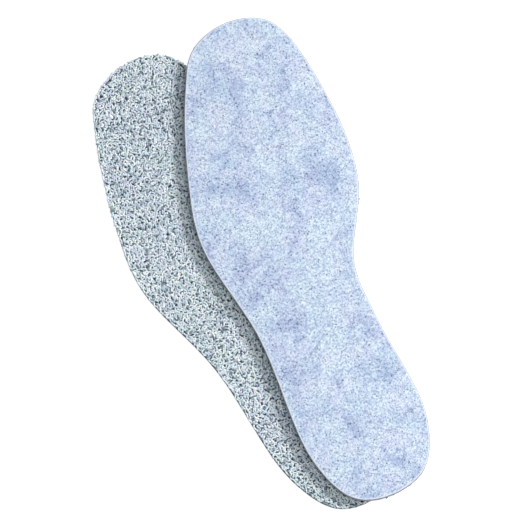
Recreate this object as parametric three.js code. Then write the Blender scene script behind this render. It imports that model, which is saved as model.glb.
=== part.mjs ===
// A pair of cushioned insoles in millimetres, +Z up, +Y towards the toes.
// The left insole lies on its felt face with its terry face up. The right insole is turned over,
// felt face up, and lies level across the left one, past whose inner side it hangs over.
// The origin is the middle of the pair's footprint, on the ground.

import * as THREE from "three";

// Thickness of each layer.
const FELT_THICKNESS = 1.2;
const ADHESIVE_THICKNESS = 0.1;
const FOAM_THICKNESS = 2.3;
const TERRY_THICKNESS = 1.8;

// How the right insole lies on the left one: turned clockwise, moved, and just clear of its pile.
const RIGHT_HEADING = THREE.MathUtils.degToRad(-10.9);
const RIGHT_OFFSET = new THREE.Vector2(8, -3);
const REST_GAP = 0.3;

// Points of the cut edge from one outline station to the next.
const STEPS_PER_STATION = 6;

// Die-cut outline seen from above, from the back of the heel round the inner side to the toes and
// back along the outer side. Both insoles show this same outline, because one is turned over.
const INNER_SIDE = [
  [1, 0], // back of the heel
  [23, 8],
  [33, 35],
  [24, 94], // arch
  [22, 124],
  [38, 167], // ball of the foot
  [37, 211],
  [20, 263],
];
const OUTER_SIDE = [
  [-3, 270], // tip of the toes
  [-25, 261],
  [-36, 240],
  [-49, 194],
  [-53, 158], // little toe joint
  [-39, 101],
  [-32, 30],
  [-18, 5],
];

const MATERIALS = {
  felt: new THREE.MeshStandardMaterial({ color: 0xc6d5ec, roughness: 0.95, metalness: 0 }),
  adhesive: new THREE.MeshStandardMaterial({ color: 0xe4e6e2, roughness: 0.5, metalness: 0 }),
  foam: new THREE.MeshStandardMaterial({ color: 0xa3abb0, roughness: 0.9, metalness: 0 }),
  terry: new THREE.MeshStandardMaterial({ color: 0xb4c2cb, roughness: 1, metalness: 0 }),
};

const FELT = { name: "felt_base", material: MATERIALS.felt, thickness: FELT_THICKNESS };
const BASE_ADHESIVE = {
  name: "base_adhesive",
  material: MATERIALS.adhesive,
  thickness: ADHESIVE_THICKNESS,
};
const FOAM = { name: "foam_cushion", material: MATERIALS.foam, thickness: FOAM_THICKNESS };
const COVER_ADHESIVE = {
  name: "cover_adhesive",
  material: MATERIALS.adhesive,
  thickness: ADHESIVE_THICKNESS,
};
const TERRY = { name: "terry_cover", material: MATERIALS.terry, thickness: TERRY_THICKNESS };

// The layers of one insole, from its walking face to its foot face.
const LAYERS = [FELT, BASE_ADHESIVE, FOAM, COVER_ADHESIVE, TERRY];
const INSOLE_THICKNESS = LAYERS.reduce((sum, layer) => sum + layer.thickness, 0);

// The cut edge as one smooth closed curve through the outline's stations.
function dieCutShape() {
  const stations = [...INNER_SIDE, ...OUTER_SIDE].map(([x, y]) => new THREE.Vector3(x, y, 0));
  const curve = new THREE.CatmullRomCurve3(stations, true, "centripetal");
  const edge = curve.getPoints(stations.length * STEPS_PER_STATION).slice(0, -1);
  return new THREE.Shape(edge.map(({ x, y }) => new THREE.Vector2(x, y)));
}

// A stack of layers, listed from its lowest one up, as one insole.
function insole(side, layers) {
  const group = new THREE.Group();
  let height = 0;
  for (const layer of layers) {
    const cut = { depth: layer.thickness, bevelEnabled: false };
    const mesh = new THREE.Mesh(new THREE.ExtrudeGeometry(dieCutShape(), cut), layer.material);
    mesh.name = `${side}_${layer.name}`;
    mesh.position.z = height;
    group.add(mesh);
    height += layer.thickness;
  }
  return group;
}

// Felt face down.
function leftInsole() {
  return insole("left", LAYERS);
}

// Turned over, felt face up, and laid on the left one.
function rightInsole() {
  const group = insole("right", LAYERS.toReversed());
  group.position.set(RIGHT_OFFSET.x, RIGHT_OFFSET.y, INSOLE_THICKNESS + REST_GAP);
  group.rotation.z = RIGHT_HEADING;
  return group;
}

// Both insoles, moved so that the origin is the middle of their footprint.
function insolePair() {
  const pair = new THREE.Group();
  pair.add(leftInsole(), rightInsole());
  const middle = new THREE.Box3().setFromObject(pair, true).getCenter(new THREE.Vector3());
  pair.position.set(-middle.x, -middle.y, 0);
  return pair;
}

export default insolePair();
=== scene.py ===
import math

import bpy
import numpy as np
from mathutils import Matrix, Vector, noise


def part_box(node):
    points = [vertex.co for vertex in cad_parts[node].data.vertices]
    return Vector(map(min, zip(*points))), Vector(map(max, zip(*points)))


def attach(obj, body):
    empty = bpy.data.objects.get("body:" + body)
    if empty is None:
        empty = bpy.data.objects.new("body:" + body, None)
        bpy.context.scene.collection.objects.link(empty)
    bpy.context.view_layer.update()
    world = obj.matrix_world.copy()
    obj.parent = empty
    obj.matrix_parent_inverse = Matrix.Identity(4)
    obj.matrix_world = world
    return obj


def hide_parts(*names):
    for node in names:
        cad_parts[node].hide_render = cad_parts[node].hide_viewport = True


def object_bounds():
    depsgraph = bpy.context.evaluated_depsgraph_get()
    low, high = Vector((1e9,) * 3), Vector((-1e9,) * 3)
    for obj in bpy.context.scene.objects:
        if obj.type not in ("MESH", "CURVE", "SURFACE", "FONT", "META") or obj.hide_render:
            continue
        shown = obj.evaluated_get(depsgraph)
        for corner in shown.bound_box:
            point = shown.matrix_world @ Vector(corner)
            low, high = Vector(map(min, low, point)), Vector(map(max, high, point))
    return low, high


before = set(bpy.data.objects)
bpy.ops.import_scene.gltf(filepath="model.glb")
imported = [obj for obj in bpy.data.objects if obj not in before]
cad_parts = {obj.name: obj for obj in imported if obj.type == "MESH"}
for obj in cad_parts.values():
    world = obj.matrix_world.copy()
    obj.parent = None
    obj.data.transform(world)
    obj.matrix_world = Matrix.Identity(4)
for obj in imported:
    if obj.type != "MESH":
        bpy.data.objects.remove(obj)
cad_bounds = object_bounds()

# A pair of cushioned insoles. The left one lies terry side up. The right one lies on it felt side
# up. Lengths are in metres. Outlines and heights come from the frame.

MM = 0.001
SEED = 7

OUTLINE_POINTS = 540  # round a smooth outline, an even number
CURVE_STEPS = 12  # of a smooth outline, from one corner of the frame's outline to the next
SMALL_STEP = 0.1 * MM  # corners nearer than this count as one
DIGITS = 6  # to which corners are rounded before they are compared
UPRIGHT = 0.1  # a wall's normal has less than this along z
POINTS_AT_ONCE = 20000  # whose distances are worked out together, to save memory
RAGGED_SCALE = 900  # repeats per metre of a cut edge's wobble

RIM = "rim"  # a mesh value of the felt, which is 0 on its faces
CUT_HIGHLIGHT = 0.5  # RIM on the cut edge, which is painted paler as a highlight
ARRIS_SHADE = 1.0  # RIM on the arris, which is painted darker as a line of shade

BODY = {"left": "left_insole", "right": "right_insole"}


# ---------------------------------------------------------------- outlines and heights


def wall_outline(node):
    """A node's outline seen from above, anticlockwise, from the corners of its wall faces."""
    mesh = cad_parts[node].data
    corners = {
        tuple(round(c, DIGITS) for c in mesh.vertices[i].co[:2])
        for face in mesh.polygons
        if abs(face.normal.z) < UPRIGHT
        for i in face.vertices
    }
    points = np.array(sorted(corners))
    towards = points - points.mean(0)
    points = points[np.argsort(np.arctan2(towards[:, 1], towards[:, 0]))]
    gaps = np.linalg.norm(points - np.roll(points, 1, axis=0), axis=1)
    return points[gaps > SMALL_STEP]


def smooth_loop(points, count):
    """A closed Catmull-Rom curve through points, as count evenly spaced points from its lowest y."""
    before, after, beyond = (np.roll(points, k, axis=0) for k in (1, -1, -2))
    t = np.linspace(0, 1, CURVE_STEPS, endpoint=False)[None, :, None]
    p0, p1, p2, p3 = (p[:, None] for p in (before, points, after, beyond))
    curve = 0.5 * (
        2 * p1
        + (p2 - p0) * t
        + (2 * p0 - 5 * p1 + 4 * p2 - p3) * t**2
        + (3 * p1 - p0 - 3 * p2 + p3) * t**3
    )
    curve = curve.reshape(-1, 2)
    curve = np.roll(curve, -int(curve[:, 1].argmin()), axis=0)
    closed = np.vstack([curve, curve[:1]])
    along = np.concatenate([[0], np.linalg.norm(np.diff(closed, axis=0), axis=1).cumsum()])
    at = np.linspace(0, along[-1], count, endpoint=False)
    return np.column_stack([np.interp(at, along, closed[:, k]) for k in (0, 1)])


def outward(loop):
    """The unit normals of an anticlockwise loop, pointing out."""
    ahead = np.roll(loop, -1, axis=0) - np.roll(loop, 1, axis=0)
    ahead /= np.linalg.norm(ahead, axis=1)[:, None]
    return np.column_stack([ahead[:, 1], -ahead[:, 0]])


def distance_outside(xy, loop):
    """How far each point lies outside a loop, negative inside it."""
    normals = outward(loop)
    found = np.empty(len(xy))
    for start in range(0, len(xy), POINTS_AT_ONCE):
        end = start + POINTS_AT_ONCE
        part = xy[start:end]
        gaps = ((part[:, None] - loop[None]) ** 2).sum(2)
        near = gaps.argmin(1)
        found[start:end] = ((part - loop[near]) * normals[near]).sum(1)
    return found


OUTLINE = {
    side: smooth_loop(wall_outline(f"{side}_felt_base"), OUTLINE_POINTS) for side in BODY
}


def layer_span(side, layer):
    """The lowest and the highest height of a layer."""
    return tuple(corner.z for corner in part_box(f"{side}_{layer}"))


# ---------------------------------------------------------------- mesh building


def add_object(name, points, faces, materials, material_numbers=None):
    """A smooth-shaded mesh in the scene."""
    mesh = bpy.data.meshes.new(name)
    mesh.from_pydata(points.tolist(), [], faces)
    for material in materials:
        mesh.materials.append(material)
    if material_numbers is not None:
        mesh.polygons.foreach_set("material_index", material_numbers)
    mesh.polygons.foreach_set("use_smooth", np.ones(len(mesh.polygons), bool))
    mesh.update()
    obj = bpy.data.objects.new(name, mesh)
    bpy.context.scene.collection.objects.link(obj)
    return obj


def face_grid(rim, cells):
    """Rows of points across a closed rim, facing up: points, faces and the rim's point numbers."""
    half = len(rim) // 2
    inner, outer = rim[1:half], rim[:half:-1]
    t = np.linspace(0, 1, cells + 1)[None, :, None]
    rows = outer[:, None] * (1 - t) + inner[:, None] * t
    points = np.vstack([rim[:1], rows.reshape(-1, 2), rim[half : half + 1]])
    number = 1 + np.arange((half - 1) * (cells + 1)).reshape(half - 1, cells + 1)
    toe = len(points) - 1
    quads = np.stack([number[:-1, :-1], number[:-1, 1:], number[1:, 1:], number[1:, :-1]], 2)
    faces = quads.reshape(-1, 4).tolist()
    for j in range(cells):
        faces.append([0, int(number[0, j + 1]), int(number[0, j])])
        faces.append([toe, int(number[-1, j]), int(number[-1, j + 1])])
    edge = np.concatenate([[0], number[:, -1], [toe], number[::-1, 0]])
    return points, faces, edge


def slab(name, side, profile, cells, materials, relief=None, ragged=0.0, rim=None):
    """A closed layer. profile lists the rings round its edge from the top face to the bottom one,
    each as (how far in from the outline, height). cells are the top face's and the bottom face's
    cells across. relief(xy) raises the top face, ragged roughens the edge, and rim lists each
    ring's RIM value."""
    loop = OUTLINE[side]
    normals = outward(loop)
    rough = edge_noise(loop, ragged)
    rings = [(loop - normals * (inset + rough[:, None]), height) for inset, height in profile]

    top, faces, top_edge = face_grid(rings[0][0], cells[0])
    bottom, low_faces, bottom_edge = face_grid(rings[-1][0], cells[1])
    heights = [np.full(len(top), rings[0][1])]
    if relief is not None:
        heights[0] = heights[0] + relief(top)
    flat = [top]
    numbers = [top_edge]
    count = len(top)
    for ring, height in rings[1:-1]:
        flat.append(ring)
        heights.append(np.full(len(ring), height))
        numbers.append(count + np.arange(len(ring)))
        count += len(ring)
    flat.append(bottom)
    heights.append(np.full(len(bottom), rings[-1][1]))
    numbers.append(count + bottom_edge)
    faces += [[count + i for i in reversed(face)] for face in low_faces]
    for upper, lower in zip(numbers, numbers[1:]):
        quads = np.stack([lower, np.roll(lower, -1), np.roll(upper, -1), upper], 1)
        faces += quads.tolist()

    xy = np.vstack(flat)
    points = np.column_stack([xy, np.concatenate(heights)])
    piece = add_object(name, points, faces, materials)
    if rim is not None:
        mark_rings(piece, numbers, rim)
    return piece


def mark_rings(piece, rings, values):
    """Gives the points of each ring its RIM value."""
    marks = np.zeros(len(piece.data.vertices))
    for ring, value in zip(rings, values):
        marks[ring] = value
    piece.data.attributes.new(RIM, "FLOAT", "POINT").data.foreach_set("value", marks)


def tube_faces(count, rings, sides):
    """The faces of many closed tubes, each of so many rings of points that turn anticlockwise about
    the way the tube runs: first all their walls, then all their two ends."""
    i, j = np.meshgrid(np.arange(rings - 1), np.arange(sides), indexing="ij")
    k = (j + 1) % sides
    near, far = i * sides, (i + 1) * sides
    walls = np.stack([near + j, near + k, far + k, far + j], 2).reshape(-1, 4)
    first_end = np.arange(sides)[::-1]
    last_end = (rings - 1) * sides + np.arange(sides)
    starts = np.arange(count) * rings * sides
    faces = (walls[None] + starts[:, None, None]).reshape(-1, 4).tolist()
    for end in (first_end, last_end):
        faces += (end[None] + starts[:, None]).tolist()
    return faces


def edge_noise(loop, size):
    """Small in and out wobble of a cut edge, the same for every ring."""
    if size == 0:
        return np.zeros(len(loop))
    return np.array([size * noise.noise(Vector((x, y, 0)) * RAGGED_SCALE) for x, y in loop])


def soft_noise(xy, scale, seed):
    """Smooth noise at some points, with scale in repeats per metre."""
    return np.array([noise.noise(Vector((x * scale, y * scale, seed))) for x, y in xy])


# ---------------------------------------------------------------- materials


def principled(name, roughness):
    """A material and its shader."""
    material = bpy.data.materials.new(name)
    material.use_nodes = True
    shader = material.node_tree.nodes["Principled BSDF"]
    shader.inputs["Roughness"].default_value = roughness
    return material, shader


def object_noise(tree, scale, detail, roughness=0.5, distortion=0.0):
    """Noise fixed to the piece, with scale in repeats per metre."""
    coordinates = tree.nodes.new("ShaderNodeTexCoord")
    texture = tree.nodes.new("ShaderNodeTexNoise")
    texture.inputs["Scale"].default_value = scale
    texture.inputs["Detail"].default_value = detail
    texture.inputs["Roughness"].default_value = roughness
    texture.inputs["Distortion"].default_value = distortion
    tree.links.new(coordinates.outputs["Object"], texture.inputs["Vector"])
    return texture.outputs["Fac"]


FIBRE_SIZE = (3.0 * MM, 0.55 * MM, 0.55 * MM)  # one repeat along, across and through the fibres


def fibre_noise(tree, way):
    """Noise drawn out into short fine fibres that all lie one way, in degrees."""
    coordinates = tree.nodes.new("ShaderNodeTexCoord")
    turned = tree.nodes.new("ShaderNodeMapping")
    turned.vector_type = "TEXTURE"  # turns before it scales
    turned.inputs["Rotation"].default_value = (0, 0, math.radians(way))
    turned.inputs["Scale"].default_value = FIBRE_SIZE
    tree.links.new(coordinates.outputs["Object"], turned.inputs["Vector"])
    texture = tree.nodes.new("ShaderNodeTexNoise")
    texture.inputs["Scale"].default_value = 1
    texture.inputs["Detail"].default_value = 1
    texture.inputs["Distortion"].default_value = 0.6
    tree.links.new(turned.outputs["Vector"], texture.inputs["Vector"])
    return texture.outputs["Fac"]


def cells_distance(tree, scale):
    """Distance to the nearest of many scattered points, in cells."""
    coordinates = tree.nodes.new("ShaderNodeTexCoord")
    texture = tree.nodes.new("ShaderNodeTexVoronoi")
    texture.inputs["Scale"].default_value = scale
    tree.links.new(coordinates.outputs["Object"], texture.inputs["Vector"])
    return texture.outputs["Distance"]


def ramp(tree, value, stops):
    """A colour or a grey from a value, through (position, colour) stops."""
    node = tree.nodes.new("ShaderNodeValToRGB")
    elements = node.color_ramp.elements
    while len(elements) < len(stops):
        elements.new(0.5)
    for element, (position, colour) in zip(elements, stops):
        element.position = position
        element.color = (*linear(colour), 1)
    tree.links.new(value, node.inputs["Fac"])
    return node.outputs["Color"]


def linear(colour):
    """A screen colour's red, green and blue as light."""
    return [c / 12.92 if c <= 0.04045 else ((c + 0.055) / 1.055) ** 2.4 for c in colour]


def blended(tree, kind, share, first, second):
    """Two colours mixed, where share and either colour can be a value or a node's output."""
    node = tree.nodes.new("ShaderNodeMix")
    node.data_type = "RGBA"
    node.blend_type = kind
    node.clamp_result = True
    sockets = {s.identifier: s for s in node.inputs}
    if isinstance(share, float):
        sockets["Factor_Float"].default_value = share
    else:
        tree.links.new(share, sockets["Factor_Float"])
    for name, value in (("A_Color", first), ("B_Color", second)):
        if isinstance(value, bpy.types.NodeSocket):
            tree.links.new(value, sockets[name])
        else:
            sockets[name].default_value = (*linear(value), 1)
    return next(s for s in node.outputs if s.identifier == "Result_Color")


def bumped(tree, shader, height, strength, distance):
    """Gives a shader fine relief."""
    node = tree.nodes.new("ShaderNodeBump")
    node.inputs["Strength"].default_value = strength
    node.inputs["Distance"].default_value = distance
    tree.links.new(height, node.inputs["Height"])
    tree.links.new(node.outputs["Normal"], shader.inputs["Normal"])


WHITE = (1.0, 1.0, 1.0)
BLACK = (0.0, 0.0, 0.0)


FELT_TINTS = [(0.33, (0.77, 0.82, 0.92)), (0.46, (0.88, 0.925, 0.985)), (0.60, (0.93, 0.97, 1.0))]
FELT_GRAIN = [(0.32, (0.74, 0.77, 0.83)), (0.47, (0.94, 0.945, 0.96)), (0.60, WHITE)]
FELT_FIBRES = [(0.34, (0.88, 0.90, 0.94)), (0.44, WHITE)]
FIBRE_WAYS = (15, 75, 135)  # degrees
FELT_HUES = [(0.40, (0.995, 0.983, 1.0)), (0.60, (0.975, 0.995, 1.0))]
SPECKS = (  # specks per metre, their reach in cells, where they lie, and their colour
    (900, 0.36, "small_patches", (0.68, 0.73, 0.83)),
    (640, 0.29, "scattered", (0.46, 0.52, 0.65)),
    (430, 0.25, "clouds", (0.38, 0.44, 0.58)),
    (280, 0.15, "sparse", (0.33, 0.39, 0.52)),
)
SPECK_CORE = 0.6  # of a speck's reach has its full colour
# The cut edge's painted highlight, then the painted shade along its arris.
FELT_EDGE_LIGHT_AND_SHADE = [(CUT_HIGHLIGHT, (0.90, 0.93, 0.98)), (0.95, (0.60, 0.59, 0.64))]


def felt_material():
    """Pale blue needled felt: soft darker clouds, fine grain, and dark specks that crowd where the
    clouds are dark. Its cut edge has a painted highlight, and a painted line of shade along its
    arris."""
    material, shader = principled("felt", roughness=0.95)
    tree = material.node_tree
    cloud = object_noise(tree, scale=60, detail=5, roughness=0.6, distortion=0.5)
    colour = felt_specks(tree, felt_ground(tree, cloud), cloud)
    tree.links.new(felt_edge_light(tree, colour), shader.inputs["Base Color"])
    lumps = object_noise(tree, scale=1100, detail=4, roughness=0.7)
    bumped(tree, shader, lumps, strength=0.6, distance=0.15 * MM)
    shader.inputs["Sheen Weight"].default_value = 0.1
    return material


def felt_ground(tree, cloud):
    """The felt's colour without its specks: clouds, grain, fibres that lie three ways, and hues."""
    colour = ramp(tree, cloud, FELT_TINTS)
    layers = [ramp(tree, object_noise(tree, scale=1200, detail=1), FELT_GRAIN)]
    layers += [ramp(tree, fibre_noise(tree, way), FELT_FIBRES) for way in FIBRE_WAYS]
    layers.append(ramp(tree, object_noise(tree, scale=75, detail=2), FELT_HUES))
    for layer in layers:
        colour = blended(tree, "MULTIPLY", 1.0, colour, layer)
    return colour


def felt_specks(tree, colour, cloud):
    """Four sizes of dark specks over a colour."""
    places = {
        "small_patches": patches(tree, scale=420, detail=1, low=0.46, high=0.52),
        "scattered": patches(tree, scale=260, detail=2, low=0.49, high=0.54),
        "sparse": patches(tree, scale=90, detail=2, low=0.47, high=0.52),
        "clouds": ramp(tree, cloud, [(0.41, WHITE), (0.51, BLACK)]),
    }
    for scale, reach, place, shade in SPECKS:
        stops = [(reach * SPECK_CORE, WHITE), (reach, BLACK)]
        specks = ramp(tree, cells_distance(tree, scale), stops)
        shown = blended(tree, "MULTIPLY", 1.0, specks, places[place])
        colour = blended(tree, "MIX", shown, colour, shade)
    return colour


def patches(tree, scale, detail, low, high):
    """White patches on black."""
    return ramp(tree, object_noise(tree, scale, detail), [(low, BLACK), (high, WHITE)])


def felt_edge_light(tree, colour):
    """A colour with the cut edge's painted highlight and its arris's painted shade where the mesh's
    RIM value asks for them.
    """
    rim = tree.nodes.new("ShaderNodeAttribute")
    rim.attribute_name = RIM
    edge = ramp(tree, rim.outputs["Fac"], FELT_EDGE_LIGHT_AND_SHADE)
    at_edge = ramp(tree, rim.outputs["Fac"], [(0.0, BLACK), (CUT_HIGHLIGHT, WHITE)])
    return blended(tree, "MIX", at_edge, colour, edge)


def fibre_material():
    """The darker blue-grey fibres that lie loose on the felt."""
    material, shader = principled("felt_fibre", roughness=0.9)
    tree = material.node_tree
    stops = [(0.35, (0.42, 0.48, 0.60)), (0.65, (0.60, 0.66, 0.77))]
    tint = ramp(tree, object_noise(tree, scale=400, detail=2), stops)
    tree.links.new(tint, shader.inputs["Base Color"])
    return material


FOAM_TINTS = [(0.35, (0.66, 0.69, 0.71)), (0.65, (0.76, 0.78, 0.79))]
# The pores and voids are painted darker, as the shade inside them.
FOAM_PORE_SHADE = [(0.20, (0.84, 0.85, 0.86)), (0.50, WHITE)]
FOAM_VOID_SHADE = [(0.10, (0.80, 0.81, 0.82)), (0.24, WHITE)]


def foam_material():
    """Matte grey open-cell foam with fine pores and some larger voids, both painted a little darker
    as the shade inside them.
    """
    material, shader = principled("foam", roughness=0.9)
    tree = material.node_tree
    tint = ramp(tree, object_noise(tree, scale=300, detail=3), FOAM_TINTS)
    pores = ramp(tree, cells_distance(tree, scale=3000), FOAM_PORE_SHADE)
    colour = blended(tree, "MULTIPLY", 1.0, tint, pores)
    voids = ramp(tree, cells_distance(tree, scale=1100), FOAM_VOID_SHADE)
    colour = blended(tree, "MULTIPLY", 1.0, colour, voids)
    tree.links.new(colour, shader.inputs["Base Color"])
    bumped(tree, shader, pores, strength=0.5, distance=0.2 * MM)
    return material


def adhesive_material():
    """Milky hot-melt web."""
    material, shader = principled("adhesive", roughness=0.45)
    tree = material.node_tree
    stops = [(0.4, (0.74, 0.73, 0.68)), (0.6, (0.88, 0.88, 0.84))]
    tint = ramp(tree, object_noise(tree, scale=700, detail=2), stops)
    tree.links.new(tint, shader.inputs["Base Color"])
    return material


def shaded_ground_material():
    """The knitted ground under the loops, painted dark as the shade that falls between them and
    along the cut edge.
    """
    material, shader = principled("terry_ground", roughness=1.0)
    tree = material.node_tree
    # Painted shade: these dark tints stand for the shade between the loops, not the ground's own
    # colour.
    stops = [(0.35, (0.15, 0.20, 0.24)), (0.65, (0.33, 0.39, 0.44))]
    tint = ramp(tree, object_noise(tree, scale=500, detail=3), stops)
    tree.links.new(tint, shader.inputs["Base Color"])
    stitches = cells_distance(tree, scale=1200)
    bumped(tree, shader, stitches, strength=0.6, distance=0.3 * MM)
    return material


def yarn_material(name, colour):
    """One shade of the pile's yarn."""
    material, shader = principled(name, roughness=0.9)
    shader.inputs["Base Color"].default_value = (*linear(colour), 1)
    shader.inputs["Sheen Weight"].default_value = 0.2
    return material


FELT = felt_material()
FIBRE = fibre_material()
FOAM = foam_material()
ADHESIVE = adhesive_material()
GROUND = shaded_ground_material()
YARN_SHADES = {  # colour, and the share of the loops in the cooler and in the warmer patches
    "yarn_white": ((0.97, 0.985, 0.995), 0.28, 0.28),
    "yarn_ice": ((0.885, 0.935, 0.97), 0.28, 0.24),
    "yarn_lilac": ((0.875, 0.895, 0.955), 0.18, 0.04),
    "yarn_mint": ((0.875, 0.93, 0.925), 0.04, 0.22),
    "yarn_grey": ((0.75, 0.805, 0.84), 0.16, 0.16),
    "yarn_slate": ((0.54, 0.61, 0.66), 0.06, 0.06),
}
YARNS = [yarn_material(name, shade[0]) for name, shade in YARN_SHADES.items()]
YARN_SHARES = np.array([shade[1:] for shade in YARN_SHADES.values()]).T


# ---------------------------------------------------------------- layers


FELT_EDGE = (  # how far in from the outline, and how deep below the outer face, in mm; RIM value
    (1.10, 0.00, 0.0),
    (0.75, 0.01, 0.4),
    (0.45, 0.05, CUT_HIGHLIGHT),
    (0.22, 0.13, ARRIS_SHADE),
    (0.05, 0.28, ARRIS_SHADE),
    (0.00, 0.50, CUT_HIGHLIGHT),
    (0.03, 1.00, CUT_HIGHLIGHT),
)
FELT_BACK_INSET = 0.15 * MM  # of the face next to the foam
FELT_RAGGED = 0.10 * MM
PLAIN_CELLS = (8, 8)  # across the top and the bottom of a layer that has flat faces
RELIEF_CELLS = (72, 8)  # across the top and the bottom of the felt that has lumps on top


def felt_base(side):
    """The felt: a rounded, ragged cut edge, and soft lumps on the outer face that is up."""
    low, high = layer_span(side, "felt_base")
    rim = [value for _, _, value in FELT_EDGE] + [CUT_HIGHLIGHT]
    if side == "right":  # its outer face is up
        profile = [(inset * MM, high - depth * MM) for inset, depth, _ in FELT_EDGE]
        profile.append((FELT_BACK_INSET, low))
        cells, relief = RELIEF_CELLS, felt_relief
    else:
        profile = [(inset * MM, low + depth * MM) for inset, depth, _ in FELT_EDGE]
        profile.append((FELT_BACK_INSET, high))
        profile.reverse()
        rim.reverse()
        cells, relief = PLAIN_CELLS, None
    name = f"{side}_felt_sheet"
    piece = slab(name, side, profile, cells, [FELT], relief, ragged=FELT_RAGGED, rim=rim)
    return finished(piece, side, "felt_base")


WIDE_LUMPS = 0.10 * MM
SMALL_LUMPS = 0.06 * MM


def felt_relief(xy):
    """How far the felt's wide and small lumps rise."""
    wide = soft_noise(xy, scale=160, seed=1.5) * WIDE_LUMPS
    small = soft_noise(xy, scale=600, seed=4.5) * SMALL_LUMPS
    return wide + small


LOOSE_FIBRES = 50
FIBRE_TRIES = 3  # places drawn for each loose fibre, as some fall outside
FIBRE_MARGIN = 6 * MM  # free of loose fibres, along the cut edge
FIBRE_LENGTH = (2 * MM, 6 * MM)
FIBRE_RADIUS = (0.05 * MM, 0.11 * MM)
FIBRE_BEND = 0.5  # typical bend from end to end, in radians
FIBRE_TAPER = 0.7  # how much thinner its ends are
FIBRE_LIFT = 0.4  # of its radius, above the felt
FIBRE_STEPS = 7
STREAKS = (  # tangles of fibres that show as dark streaks: place in the felt's box, heading, fibres
    ((0.30, 0.33), math.radians(24), 16),
    ((0.58, 0.13), math.radians(-5), 7),
)
STREAK_SPREAD = (2.2 * MM, 0.3 * MM)  # along and across a streak
STREAK_TURN = 0.2  # typical turn of a fibre from its streak's heading, in radians
STREAK_LENGTH = (2.5 * MM, 6 * MM)  # of its fibres


def fibre_layout(rng):
    """The middle, the heading and the length of each fibre."""
    edge = OUTLINE["right"]
    low, high = edge.min(0), edge.max(0)
    middle = rng.uniform(low, high, (LOOSE_FIBRES * FIBRE_TRIES, 2))
    middle = middle[distance_outside(middle, edge) < -FIBRE_MARGIN][:LOOSE_FIBRES]
    heading = rng.uniform(0, 2 * math.pi, len(middle))
    length = rng.uniform(*FIBRE_LENGTH, len(middle))
    for place, way, count in STREAKS:
        along = np.array([math.cos(way), math.sin(way)])
        beside = np.array([-along[1], along[0]])
        spread = rng.normal(0, STREAK_SPREAD, (count, 2))
        start = low + (high - low) * np.array(place)
        middle = np.vstack([middle, start + spread[:, :1] * along + spread[:, 1:] * beside])
        heading = np.concatenate([heading, way + rng.normal(0, STREAK_TURN, count)])
        length = np.concatenate([length, rng.uniform(*STREAK_LENGTH, count)])
    return middle, heading, length


def felt_fibres(rng):
    """Loose dark fibres on the right insole's felt face, some of them tangled into streaks."""
    middle, heading, length = fibre_layout(rng)
    radius = rng.uniform(*FIBRE_RADIUS, len(middle))
    bend = rng.normal(0, FIBRE_BEND, len(middle))

    at = np.linspace(-0.5, 0.5, FIBRE_STEPS)[None]
    turned = heading[:, None] + bend[:, None] * at
    step = length[:, None] / (FIBRE_STEPS - 1)
    path = np.stack([np.cos(turned) * step, np.sin(turned) * step], 2).cumsum(1)
    path += (middle - path[:, FIBRE_STEPS // 2])[:, None]
    beside = np.stack([-np.sin(turned), np.cos(turned)], 2)
    face = layer_span("right", "felt_base")[1]
    height = face + felt_relief(path.reshape(-1, 2)).reshape(path.shape[:2])
    tapered = radius[:, None] * (1 - (2 * at) ** 4 * FIBRE_TAPER)
    corners = []
    for out, up in ((1, 0), (0, 1), (-1, 0), (0, -1)):
        xy = path + beside * (out * tapered)[..., None]
        corners.append(np.dstack([xy, height + tapered * (FIBRE_LIFT + up)]))
    points = np.stack(corners, 2).reshape(-1, 3)
    faces = tube_faces(len(middle), FIBRE_STEPS, len(corners))
    piece = add_object("right_felt_fibres", points, faces, [FIBRE])
    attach(piece, BODY["right"])
    return piece


WEB_INSET = 0.12 * MM


def web(side, layer):
    """One adhesive web, drawn back a little from the cut edge."""
    low, high = layer_span(side, layer)
    profile = [(WEB_INSET, high), (WEB_INSET, low)]
    piece = slab(f"{side}_{layer}_web", side, profile, PLAIN_CELLS, [ADHESIVE])
    return finished(piece, side, layer)


FOAM_INSET = 0.05 * MM
FOAM_WAIST = 0.22 * MM  # how much further in the cut edge is at half the foam's height
FOAM_RINGS = 7
FOAM_RAGGED = 0.08 * MM


def foam_cushion(side):
    """The foam, whose cut edge is drawn in a little at half its height."""
    low, high = layer_span(side, "foam_cushion")
    profile = [
        (FOAM_INSET + FOAM_WAIST * math.sin(math.pi * t), low + (high - low) * t)
        for t in np.linspace(1, 0, FOAM_RINGS)
    ]
    piece = slab(f"{side}_foam_pad", side, profile, PLAIN_CELLS, [FOAM], ragged=FOAM_RAGGED)
    return finished(piece, side, "foam_cushion")


GROUND_THICKNESS = 0.55 * MM
GROUND_ROUNDING = 0.2 * MM
GROUND_CELLS = (24, 24)
GROUND_RAGGED = 0.25 * MM


def terry_ground(side):
    """The knitted ground of the terry, next to the adhesive."""
    low, high = layer_span(side, "terry_cover")
    if side == "left":
        high = low + GROUND_THICKNESS
    else:
        low = high - GROUND_THICKNESS
    profile = [(GROUND_ROUNDING, high), (0, (low + high) / 2), (GROUND_ROUNDING, low)]
    name = f"{side}_terry_ground"
    piece = slab(name, side, profile, GROUND_CELLS, [GROUND], ragged=GROUND_RAGGED)
    return finished(piece, side, "terry_cover")


def finished(piece, side, layer):
    """A piece that stands for one layer of an insole."""
    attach(piece, BODY[side])
    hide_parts(f"{side}_{layer}")
    return piece


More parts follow.
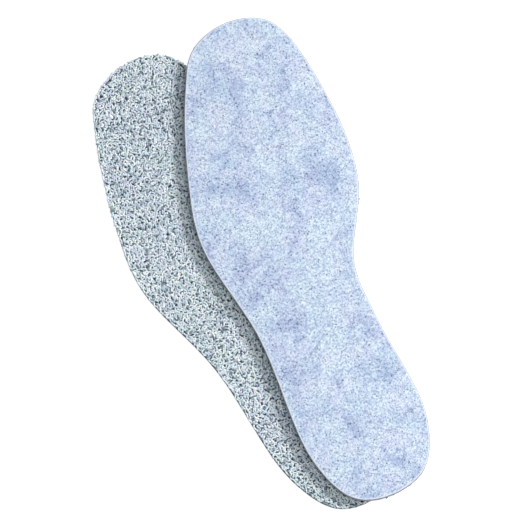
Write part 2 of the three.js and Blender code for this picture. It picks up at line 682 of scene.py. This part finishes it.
LOOP_PITCH = 1.32 * MM
LOOP_JITTER = 0.25 * LOOP_PITCH
RIM_ROW = (0.65 * MM, 0.35 * MM)  # how far in from the cut edge the outermost loops stand: heel, toe
RIM_CLEARANCE = 0.5 * LOOP_PITCH  # from the outermost loops to the others
RIM_JITTER = 0.15 * MM
RIM_TURN = 0.35  # typical turn of an outermost loop from the cut edge's heading, in radians
LOOP_STEPS = 5
YARN_SIDES = 5


def rim_inset(y, toe):
    """How far in from the cut edge the outermost loops stand, at some place along the insole."""
    return np.interp(y, (0, toe / 2), RIM_ROW)


def loop_roots(side, rng):
    """Where the loops stand and which way each lies. One row follows the cut edge, and the rest fill
    the outline in a jittered staggered pattern."""
    edge = OUTLINE[side]
    inner, inner_yaw = inner_roots(edge, rng)
    rim, rim_yaw = rim_roots(edge, rng)
    return np.vstack([inner, rim]), np.concatenate([inner_yaw, rim_yaw])


def inner_roots(edge, rng):
    """The loops inside the row that follows the cut edge."""
    low, high = edge.min(0), edge.max(0)
    row_gap = LOOP_PITCH * math.sqrt(3) / 2
    rows = []
    for number, y in enumerate(np.arange(low[1], high[1], row_gap)):
        xs = np.arange(low[0] + (number % 2) * LOOP_PITCH / 2, high[0], LOOP_PITCH)
        rows.append(np.column_stack([xs, np.full(len(xs), y)]))
    roots = np.vstack(rows)
    roots += rng.uniform(-LOOP_JITTER, LOOP_JITTER, roots.shape)
    clear = rim_inset(roots[:, 1], high[1]) + RIM_CLEARANCE
    roots = roots[distance_outside(roots, edge) < -clear]
    return roots, rng.uniform(0, math.pi, len(roots))


def rim_roots(edge, rng):
    """The row of loops that follows the cut edge."""
    around = np.linalg.norm(edge - np.roll(edge, 1, axis=0), axis=1).sum()
    count = round(around / LOOP_PITCH)
    row = smooth_loop(edge, count)
    normals = outward(row)
    inset = rim_inset(row[:, 1], edge[:, 1].max()) + rng.uniform(-RIM_JITTER, RIM_JITTER, count)
    ahead = np.arctan2(normals[:, 1], normals[:, 0]) + math.pi / 2
    return row - normals * inset[:, None], ahead + rng.normal(0, RIM_TURN, count)


SHADE_SCALE = 85  # patches of cooler and warmer tints per metre


def yarn_shades(roots, rng):
    """Each loop's yarn. Cooler and warmer tints lie in patches."""
    patch = (soft_noise(roots, SHADE_SCALE, seed=2.5) > 0).astype(int)
    steps = YARN_SHARES.cumsum(1)
    steps /= steps[:, -1:]
    draw = rng.uniform(0, 1, len(roots))
    return (draw[:, None] > steps[patch]).sum(1)


LOOP_SPAN = (0.9 * MM, 1.6 * MM)
LOOP_RISE = (0.38, 0.60)  # of the terry's thickness
LOOP_LEAN = 0.28  # typical sideways lean, as a share of its height
MOST_LEAN = 0.6  # the same share, at most
YARN_RADIUS = (0.42 * MM, 0.52 * MM)
YARN_UNEVEN = (0.88, 1.12)  # of its radius, from ring to ring
LOOP_CURL = 0.45 * MM  # the most that a loop's two halves swing to opposite sides
LOOP_SQUARENESS = 0.7  # below 1 a loop has a flatter top and steeper legs


def standing_loops(count, room, rng):
    """The points of some loops that stand on the origin, by loop, ring and side of the yarn."""
    rings = LOOP_STEPS + 1
    span = rng.uniform(*LOOP_SPAN, count)
    rise = rng.uniform(*LOOP_RISE, count) * room
    lean = np.clip(rng.normal(0, LOOP_LEAN, count), -MOST_LEAN, MOST_LEAN)
    yarn = rng.uniform(*YARN_RADIUS, (count, 1)) * rng.uniform(*YARN_UNEVEN, (count, rings))
    curl = rng.uniform(-LOOP_CURL, LOOP_CURL, count)

    turn = np.linspace(-math.pi / 2, math.pi / 2, rings)[None]
    along = span[:, None] / 2 * np.sin(turn)
    up = rise[:, None] * np.cos(turn) ** LOOP_SQUARENESS
    across = curl[:, None] * np.sin(2 * turn) + up * lean[:, None]
    path = np.stack([along, across, up], 2)
    return yarn_surface(path, yarn)


def yarn_surface(path, yarn):
    """Rings of points round some paths."""
    ahead = np.gradient(path, axis=1)
    ahead /= np.linalg.norm(ahead, axis=2, keepdims=True)
    outer = np.cross(ahead, np.array([0.0, 1.0, 0.0]))
    outer /= np.linalg.norm(outer, axis=2, keepdims=True)
    beside = np.cross(outer, ahead)
    round_yarn = np.linspace(0, 2 * math.pi, YARN_SIDES, endpoint=False)[:, None]
    ring = beside[:, :, None] * np.cos(round_yarn) + outer[:, :, None] * np.sin(round_yarn)
    return path[:, :, None] + ring * yarn[:, :, None, None]


def pile(name, side, roots, yaw, rng):
    """The loops of yarn on some roots, as one piece."""
    count = len(roots)
    low, high = layer_span(side, "terry_cover")
    local = standing_loops(count, high - low, rng)

    c, s = np.cos(yaw)[:, None, None], np.sin(yaw)[:, None, None]
    x = local[..., 0] * c - local[..., 1] * s + roots[:, 0, None, None]
    y = local[..., 0] * s + local[..., 1] * c + roots[:, 1, None, None]
    faces = tube_faces(count, LOOP_STEPS + 1, YARN_SIDES)
    if side == "left":
        z = low + GROUND_THICKNESS / 2 + local[..., 2]
    else:  # its loops are mirrored, to hang down
        z = high - GROUND_THICKNESS / 2 - local[..., 2]
        faces = [face[::-1] for face in faces]
    points = np.stack([x, y, z], -1).reshape(-1, 3)

    shade = yarn_shades(roots, rng)
    numbers = np.concatenate([np.repeat(shade, LOOP_STEPS * YARN_SIDES), shade, shade])
    piece = add_object(name, points, faces, YARNS, numbers)
    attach(piece, BODY[side])
    return piece


PILE_PARTS = ("heel", "arch", "waist", "ball", "toe")


def terry_pile(side, rng):
    """The pile, as one piece for each part of the insole's length."""
    roots, yaw = loop_roots(side, rng)
    low, high = roots[:, 1].min(), roots[:, 1].max()
    place = (roots[:, 1] - low) / (high - low) * len(PILE_PARTS)
    parts = np.minimum(place.astype(int), len(PILE_PARTS) - 1)
    return [
        pile(f"{side}_pile_{name}", side, roots[parts == n], yaw[parts == n], rng)
        for n, name in enumerate(PILE_PARTS)
    ]


def insole(side):
    """One insole's layers."""
    rng = np.random.default_rng(SEED if side == "left" else SEED + 1)
    foam = foam_cushion(side)
    webs = [web(side, "base_adhesive"), web(side, "cover_adhesive")]
    felt = felt_base(side)
    ground = terry_ground(side)
    loops = terry_pile(side, rng)
    fibres = [felt_fibres(rng)] if side == "right" else []


# ---------------------------------------------------------------- floor, light and camera

CAMERA_AZIMUTH = math.radians(-28.65)
CAMERA_ELEVATION = math.radians(80)
CAMERA_DISTANCE = 2.0
FRAME_WIDTH = 279.7 * MM  # what the view takes in, at the insoles
AIM = Vector((-4.8, 7.5, 0)) * MM  # the middle of the view, on the ground


def make_camera():
    """A long lens that looks steeply down on the pair."""
    data = bpy.data.cameras.new("camera")
    data.lens = data.sensor_width * CAMERA_DISTANCE / FRAME_WIDTH
    camera = bpy.data.objects.new("camera", data)
    bpy.context.scene.collection.objects.link(camera)
    back = direction(CAMERA_AZIMUTH, CAMERA_ELEVATION)
    camera.location = AIM + back * CAMERA_DISTANCE
    camera.rotation_euler = (-back).to_track_quat("-Z", "Y").to_euler()
    bpy.context.scene.camera = camera


def direction(azimuth, elevation):
    """From the object towards a viewer or a light."""
    return Vector(
        (
            math.sin(azimuth) * math.cos(elevation),
            -math.cos(azimuth) * math.cos(elevation),
            math.sin(elevation),
        )
    )


def area_light(name, azimuth, elevation, distance, size, power):
    """A round light that faces the insoles, with its angles in degrees."""
    data = bpy.data.lights.new(name, "AREA")
    data.shape = "DISK"
    data.size = size
    data.energy = power
    light = bpy.data.objects.new(name, data)
    bpy.context.scene.collection.objects.link(light)
    back = direction(math.radians(azimuth), math.radians(elevation))
    light.location = back * distance
    light.rotation_euler = (-back).to_track_quat("-Z", "Y").to_euler()


VIEW = math.degrees(CAMERA_AZIMUTH)  # from which the lights' azimuths are counted
SURROUND = (0.88, 0.95, 1, 1)
SURROUND_STRENGTH = 0.22


def make_lights():
    """A soft key from the right of the view, a higher one from its near right, a faint surround, and
    the light that a white floor would send back up, which comes through the floor."""
    area_light("key", VIEW + 112, elevation=41, distance=1.6, size=0.5, power=21.0)
    area_light("bounce", 0, elevation=-90, distance=1.0, size=6.0, power=80.0)
    area_light("upper", VIEW + 45, elevation=70, distance=1.1, size=0.7, power=4.1)
    world = bpy.data.worlds.new("surround")
    world.use_nodes = True
    background = world.node_tree.nodes["Background"]
    background.inputs["Color"].default_value = SURROUND
    background.inputs["Strength"].default_value = SURROUND_STRENGTH
    bpy.context.scene.world = world


FLOOR_RADIUS = 5.0
BACKDROP_RADIUS = 3.0  # of the bend from the floor up into the backdrop
BACKDROP_RINGS = 13
FLOOR_SIDES = 96
FLOOR_GAP = 0.02 * MM
FLOOR_GREY = (0.5, 0.5, 0.5, 1)
FLOOR_GLOW = 0.85


def floor_mesh():
    """The points and faces of a round floor that bends up into a backdrop."""
    bend = np.linspace(0, math.pi / 2, BACKDROP_RINGS)
    reach = FLOOR_RADIUS + BACKDROP_RADIUS * np.sin(bend)
    rise = BACKDROP_RADIUS * (1 - np.cos(bend))
    turn = np.linspace(0, 2 * math.pi, FLOOR_SIDES, endpoint=False)
    rings = [
        np.stack([r * np.cos(turn), r * np.sin(turn), np.full(FLOOR_SIDES, z)], 1)
        for r, z in zip(reach, rise)
    ]
    points = np.vstack([[(0, 0, 0)], *rings])
    first = 1 + np.arange(FLOOR_SIDES)
    ahead = np.roll(first, -1)
    faces = np.stack([0 * first, first, ahead], 1).tolist()
    for ring in range(BACKDROP_RINGS - 1):
        low = ring * FLOOR_SIDES
        high = low + FLOOR_SIDES
        faces += np.stack([low + first, high + first, high + ahead, low + ahead], 1).tolist()
    return points, faces


def make_floor():
    """A floor so pale that only the shadows on the insoles show. It gives them no light."""
    material, shader = principled("floor", roughness=0.9)
    shader.inputs["Base Color"].default_value = FLOOR_GREY
    shader.inputs["Emission Color"].default_value = (1, 1, 1, 1)
    shader.inputs["Emission Strength"].default_value = FLOOR_GLOW
    points, faces = floor_mesh()
    floor = add_object("floor", points, faces, [material])
    floor.location.z = cad_bounds[0].z - FLOOR_GAP
    floor.visible_diffuse = False
    floor.visible_glossy = False
    floor.visible_shadow = False


make_camera()
make_lights()
make_floor()
for side in BODY:
    insole(side)

bpy.context.scene.view_settings.view_transform = "Standard"
